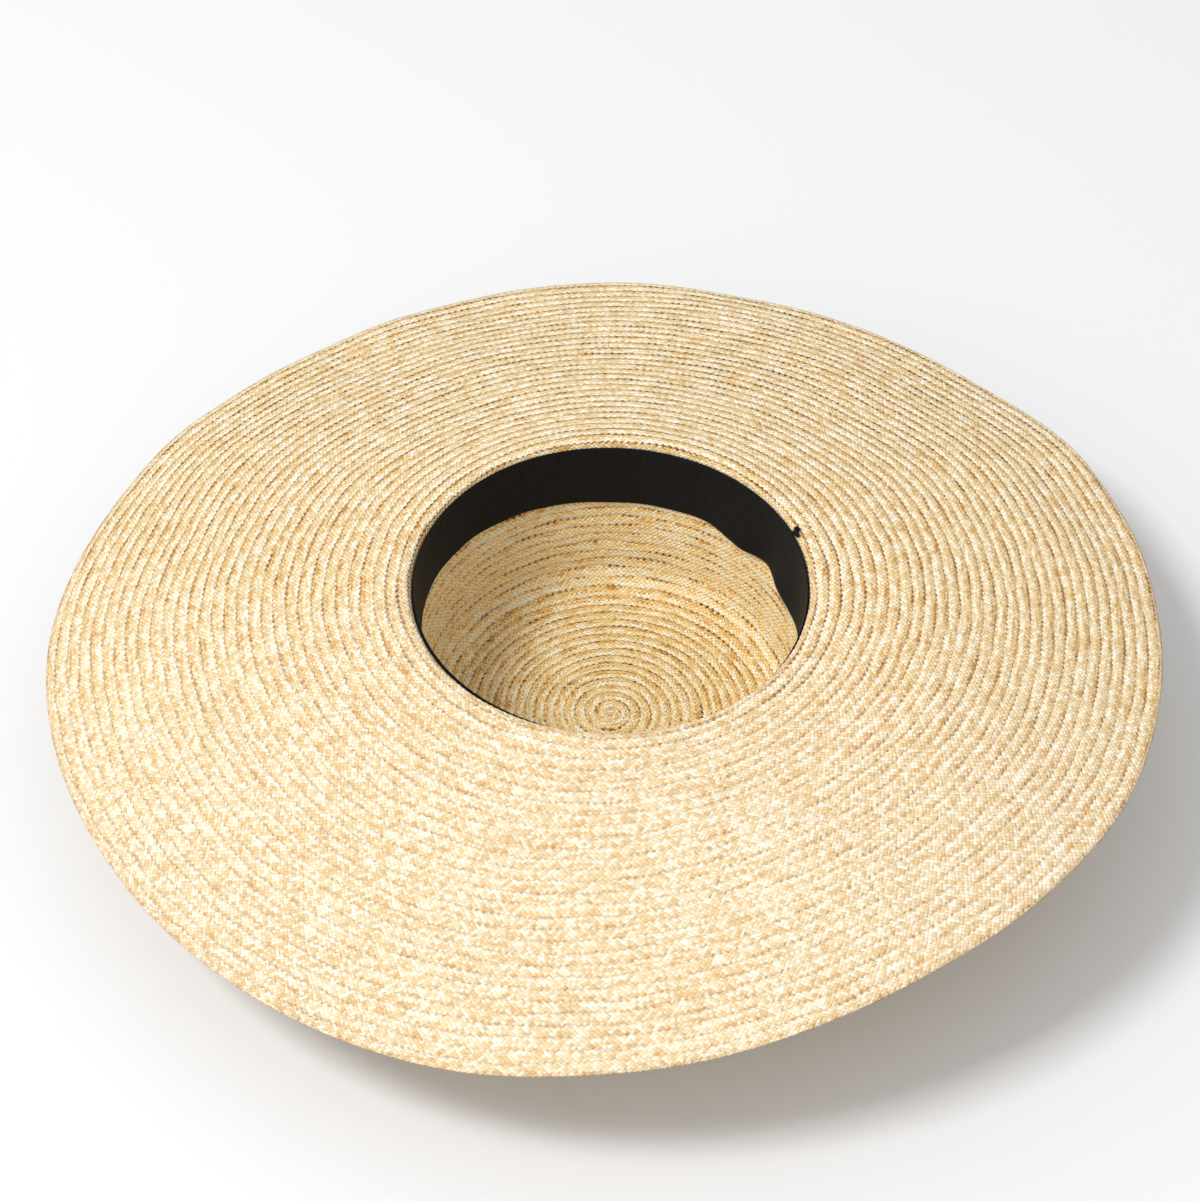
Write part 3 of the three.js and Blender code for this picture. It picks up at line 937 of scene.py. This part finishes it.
brim_ends = (*BRIM_SPLITS[1:], SEAM_TURN)
for number, (start, end) in enumerate(zip(BRIM_SPLITS, brim_ends), start=1):
    stretch = plait_piece(f"brim_rows_{number}", start, end)
    finish(stretch, BRIM_STRAW, "brim")
collar = plait_piece("collar_rows", SEAM_TURN, COLLAR_TURN)
finish(collar, COLLAR_STRAW, "crown")
wall_rows = plait_piece("wall_rows", COLLAR_TURN, TIP_TURN)
finish(wall_rows, WALL_STRAW, "crown")
tip_rows = plait_piece("tip_rows", TIP_TURN, STATION_TURNS[-1])
finish(tip_rows, TIP_STRAW, "crown")


# The ribbon


def ribbon_piece():
    """The ribbon inside the opening. Going down it, the ribbon follows the wall's lean,
    and the square of the way down times the billow stands it off the wall. Its
    section is a thin closed strip with rounded edges."""
    around, down = 720, 24
    azimuth = np.arange(around) * 360 / around
    share = np.linspace(0, 1, down)
    front = np.stack([share, np.ones(down)])
    back = np.stack([share[::-1], np.zeros(down)])
    way, face = np.concatenate([front, back], axis=1)
    edge = np.minimum(way, 1 - way) * BAND_HEIGHT
    thin = smooth_step(edge, -0.6 * MM, 0.7 * MM)
    drop = table_at(BAND_HANG, "drop", azimuth) * BREAK_RADIUS
    billow = table_at(BAND_HANG, "billow", azimuth) * BAND_BILLOW
    deep = BAND_HEIGHT * (1 - table_at(BAND_HANG, "lift", azimuth))
    height = CROWN_HEIGHT - drop[:, None] - way[None, :] * deep[:, None]
    lean = np.clip(WALL_TOP - height, 0, None) * math.tan(WALL_LEAN)
    middle = OPENING_RADIUS - BAND_GAP - BAND_THICKNESS / 2
    ripple = BAND_RIPPLE * waves(azimuth, (360 / 7, 360 / 13, 360 / 19), 5)
    radius = middle - lean - (billow + ripple)[:, None] * way[None, :] ** 2
    radius = radius + (0.5 - face[None, :]) * BAND_THICKNESS * thin[None, :]
    angle = np.radians(azimuth)[:, None]
    x = radius * np.cos(angle) * WIDTH_STRETCH
    y = radius * np.sin(angle) * LENGTH_STRETCH
    points = np.stack([x, y, height], axis=-1)
    ribs = round(2 * math.pi * OPENING_RADIUS / RIB_PITCH)
    along = np.broadcast_to((azimuth * ribs / 360)[:, None], height.shape)
    pattern = np.stack([along, np.broadcast_to(way, height.shape)], axis=-1)
    return grid_mesh("sweatband_ribbon", points, pattern, along_closed=True)


band = finish(ribbon_piece(), RIBBON, "sweatband")


# The thread knot


def knot_piece():
    """A small knot of black thread: a tube carried along a flat three-lobed knot, which
    leans with the rounded break that it lies on."""
    around, sides = 120, 8
    t = np.linspace(0, 2 * math.pi, around, endpoint=False)
    x = 1.0 * np.sin(t) + 0.85 * np.sin(2 * t)
    y = 1.15 * np.cos(t) - 0.95 * np.cos(2 * t)
    z = -0.4 * np.sin(3 * t)
    path = np.stack([x, y, z], axis=-1) * KNOT_SPREAD
    tangent = np.roll(path, -1, axis=0) - np.roll(path, 1, axis=0)
    tangent /= np.linalg.norm(tangent, axis=1, keepdims=True)
    side = np.cross(tangent, [0, 0, 1.0])
    side /= np.linalg.norm(side, axis=1, keepdims=True)
    up = np.cross(side, tangent)
    s = np.linspace(0, 2 * math.pi, sides, endpoint=False)
    ring = np.cos(s)[None, :, None] * side[:, None, :] + np.sin(s)[None, :, None] * up[:, None, :]
    tube = path[:, None, :] + ring * THREAD_RADIUS
    cosine, sine = math.cos(KNOT_LEAN), math.sin(KNOT_LEAN)
    tilt = np.array([[cosine, 0, -sine], [0, 1, 0], [sine, 0, cosine]])
    tube = tube @ tilt.T
    reach = BREAK_RADIUS + KNOT_RISE
    tube[..., 0] += CREST_RADIUS - reach * sine
    tube[..., 2] += WALL_TOP + reach * cosine
    cosine, sine = math.cos(KNOT_AZIMUTH), math.sin(KNOT_AZIMUTH)
    x = tube[..., 0] * cosine - tube[..., 1] * sine
    y = tube[..., 0] * sine + tube[..., 1] * cosine
    points = np.stack([x * WIDTH_STRETCH, y * LENGTH_STRETCH, tube[..., 2]], axis=-1)
    along = np.broadcast_to((t * 6)[:, None], (around, sides))
    pattern = np.stack([along, np.broadcast_to(s / 6, (around, sides))], axis=-1)
    return grid_mesh("band_thread_knot", points, pattern, along_closed=True)


finish(knot_piece(), RIBBON, "band_knot")


# Floor, light and camera


FLOOR_REACH = 6.0
FLOOR_COLOUR = (0.775, 0.78, 0.79, 1)


def floor():
    """A wide flat sheet under the hat."""
    mesh = bpy.data.meshes.new("floor")
    reach = FLOOR_REACH
    corners = [(-reach, -reach, 0), (reach, -reach, 0), (reach, reach, 0), (-reach, reach, 0)]
    mesh.from_pydata(corners, [], [(0, 1, 2, 3)])
    sheet = bpy.data.objects.new("floor", mesh)
    bpy.context.scene.collection.objects.link(sheet)
    material, _, shader = new_material("Pale floor")
    shader.inputs["Base Color"].default_value = FLOOR_COLOUR
    shader.inputs["Roughness"].default_value = 0.6
    mesh.materials.append(material)


LIGHT_AIM = (0, 0, 50 * MM)
SURROUND_STRENGTH = 0.72


def lamp(name, place_at, size, power):
    """A square soft light that faces the aim."""
    data = bpy.data.lights.new(name, "AREA")
    data.shape = "SQUARE"
    data.size = size
    data.energy = power
    holder = bpy.data.objects.new(name, data)
    holder.location = place_at
    way = np.array(LIGHT_AIM) - np.array(place_at)
    flat = math.hypot(way[0], way[1])
    holder.rotation_euler = (math.atan2(flat, -way[2]), 0, math.atan2(-way[0], way[1]))
    bpy.context.scene.collection.objects.link(holder)


def studio():
    """Soft light from the upper left, a little in front, a low soft fill from the
    front and a pale surround."""
    world = bpy.data.worlds.new("Studio")
    bpy.context.scene.world = world
    world.use_nodes = True
    surround = world.node_tree.nodes["Background"]
    surround.inputs["Color"].default_value = (1.0, 1.0, 1.0, 1)
    surround.inputs["Strength"].default_value = SURROUND_STRENGTH
    lamp("key", (-1.65, -0.9, 3.0), size=0.9, power=77)
    lamp("fill", (-1.9, -2.2, 1.5), size=1.6, power=10)
    bpy.context.scene.view_settings.view_transform = "Standard"


SENSOR_WIDTH = 36
CAMERA_DISTANCE = 1.5
CAMERA_RISE = math.radians(44.39)
PHOTO_WIDTH, PHOTO_HEIGHT = 1200, 1201
PIXELS_PER_METRE = 2186.7
CREST_CENTRE_PIXEL = (610.6, 580.27)


def camera():
    """A camera that looks at the opening's centre. Its lens gives the photo's scale
    there, and its shift puts the centre at its place in the photo."""
    data = bpy.data.cameras.new("camera")
    data.sensor_width = SENSOR_WIDTH
    data.lens = SENSOR_WIDTH * PIXELS_PER_METRE * CAMERA_DISTANCE / PHOTO_HEIGHT
    data.shift_x = -(CREST_CENTRE_PIXEL[0] - PHOTO_WIDTH / 2) / PHOTO_HEIGHT
    data.shift_y = (CREST_CENTRE_PIXEL[1] - PHOTO_HEIGHT / 2) / PHOTO_HEIGHT
    data.clip_end = 50
    holder = bpy.data.objects.new("camera", data)
    back = CAMERA_DISTANCE * math.cos(CAMERA_RISE)
    up = CAMERA_DISTANCE * math.sin(CAMERA_RISE)
    holder.location = (0, -back, CROWN_HEIGHT + up)
    holder.rotation_euler = (math.pi / 2 - CAMERA_RISE, 0, 0)
    bpy.context.scene.collection.objects.link(holder)
    bpy.context.scene.camera = holder


floor()
studio()
camera()
